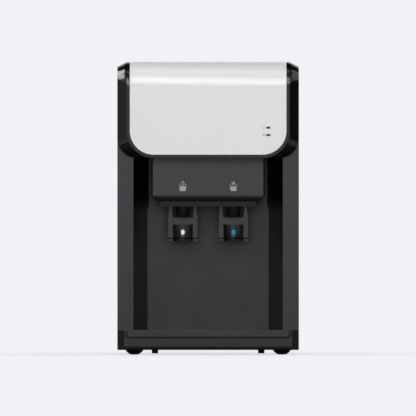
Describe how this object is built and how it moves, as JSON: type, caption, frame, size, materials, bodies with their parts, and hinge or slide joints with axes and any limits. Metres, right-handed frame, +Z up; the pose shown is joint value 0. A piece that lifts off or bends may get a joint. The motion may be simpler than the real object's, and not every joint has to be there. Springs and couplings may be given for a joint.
{
  "type": "water cooler dispenser",
  "caption": "Benchtop water cooler: bevelled head with a wrapped silver fascia, push-lever taps over a cup alcove, slide-out drip tray and a wire condenser behind.",
  "frame": {"origin": "on the worktop, at the middle of the overall width and depth", "axes": "+Z up, the taps face -Y, +X is to the right of someone facing the taps"},
  "size_m": [0.31, 0.355, 0.5005],
  "materials": {
    "charcoal_abs": "satin",
    "gloss_black_abs": "gloss",
    "silver_fascia": "satin",
    "lever_plastic": "satin",
    "white_mark": "gloss",
    "blue_mark": "gloss",
    "red_lens": "gloss",
    "green_lens": "gloss",
    "circuit_board": "satin",
    "natural_plastic": "satin",
    "fitting_plastic": "satin",
    "black_rubber": "matte",
    "plain_steel": "satin",
    "black_enamel_steel": "satin",
    "motor_iron": "matte",
    "copper_pipe": "satin",
    "white_foam": "matte"
  },
  "bodies": {
    "cabinet": {"base_moulding": "charcoal_abs", "front_feet": "black_rubber", "rear_feet": "black_rubber", "side_panel_left": "charcoal_abs", "side_panel_right": "charcoal_abs", "cheek_left": "gloss_black_abs", "cheek_right": "gloss_black_abs", "splash_back": "charcoal_abs", "head_bezel": "charcoal_abs", "fascia_panel": "silver_fascia", "top_cover": "charcoal_abs", "rear_panel": "charcoal_abs", "power_lens": "red_lens", "cooling_lens": "green_lens", "indicator_board": "circuit_board", "tap_housing": "charcoal_abs", "tap_carrier": "charcoal_abs", "lever_pins": "plain_steel", "valve_body_left": "natural_plastic", "valve_body_right": "natural_plastic", "nozzle_left": "gloss_black_abs", "nozzle_right": "gloss_black_abs", "valve_spring_left": "plain_steel", "valve_spring_right": "plain_steel", "chassis_plate": "plain_steel", "compressor_shell": "black_enamel_steel", "compressor_motor": "motor_iron", "compressor_saddle": "black_enamel_steel", "compressor_mounts": "black_rubber", "tank_frame": "plain_steel", "foam_front": "white_foam", "foam_rear": "white_foam", "water_tank": "plain_steel", "tank_baffle": "plain_steel", "tank_gasket": "black_rubber", "tank_lid": "natural_plastic", "evaporator": "copper_pipe", "float_valve": "natural_plastic", "ambient_hose": "natural_plastic", "cold_hose": "natural_plastic", "drain_hose": "natural_plastic", "inlet_hose": "natural_plastic", "refrigerant_pipes": "copper_pipe", "condenser_tube": "black_enamel_steel", "condenser_wires": "black_enamel_steel", "condenser_brackets": "black_enamel_steel", "wall_spacers": "charcoal_abs", "rear_fittings": "fitting_plastic"},
    "drip_tray": {"drip_tray": "charcoal_abs"},
    "drip_grille": {"drip_grille": "charcoal_abs"},
    "lever_left": {"lever_left": "lever_plastic", "lever_mark_left": "white_mark"},
    "lever_right": {"lever_right": "lever_plastic", "lever_mark_right": "blue_mark"},
    "plunger_left": {"plunger_left": "natural_plastic", "valve_seal_left": "black_rubber"},
    "plunger_right": {"plunger_right": "natural_plastic", "valve_seal_right": "black_rubber"},
    "switch_rocker": {"switch_rocker": "gloss_black_abs"},
    "float_arm": {"float_arm": "natural_plastic"}
  },
  "joints": [
    {"name": "lever_left_push", "type": "hinge", "parent": "cabinet", "child": "lever_left", "pos_m": [-0.04325, -0.1, 0.292], "axis": [1, 0, 0], "range_deg": [0, 8], "stiffness_Nm_per_rad": 2, "springref_deg": -2.86},
    {"name": "plunger_left_drop", "type": "slide", "parent": "cabinet", "child": "plunger_left", "axis": [0, 0, -1], "range_m": [0, 0.0032], "deforming": ["valve_spring_left"]},
    {"name": "lever_right_push", "type": "hinge", "parent": "cabinet", "child": "lever_right", "pos_m": [0.04325, -0.1, 0.292], "axis": [1, 0, 0], "range_deg": [0, 8], "stiffness_Nm_per_rad": 2, "springref_deg": -2.86},
    {"name": "plunger_right_drop", "type": "slide", "parent": "cabinet", "child": "plunger_right", "axis": [0, 0, -1], "range_m": [0, 0.0032], "deforming": ["valve_spring_right"]},
    {"name": "tray_slide", "type": "slide", "parent": "cabinet", "child": "drip_tray", "axis": [0, -1, 0], "range_m": [0, 0.13]},
    {"name": "grille_lift", "type": "slide", "parent": "drip_tray", "child": "drip_grille", "axis": [0, 0, 1], "range_m": [0, 0.1]},
    {"name": "rocker_tip", "type": "hinge", "parent": "cabinet", "child": "switch_rocker", "pos_m": [0.078, 0.145, 0.08], "axis": [-1, 0, 0], "range_deg": [0, 20]},
    {"name": "float_rise", "type": "hinge", "parent": "cabinet", "child": "float_arm", "pos_m": [-0.03, 0.059, 0.43], "axis": [0, -1, 0], "range_deg": [0, 20]}
  ],
  "couplings": [
    {"joint": "plunger_left_drop", "follows": "lever_left_push", "m_per_rad": 0.022},
    {"joint": "plunger_right_drop", "follows": "lever_right_push", "m_per_rad": 0.022}
  ]
}
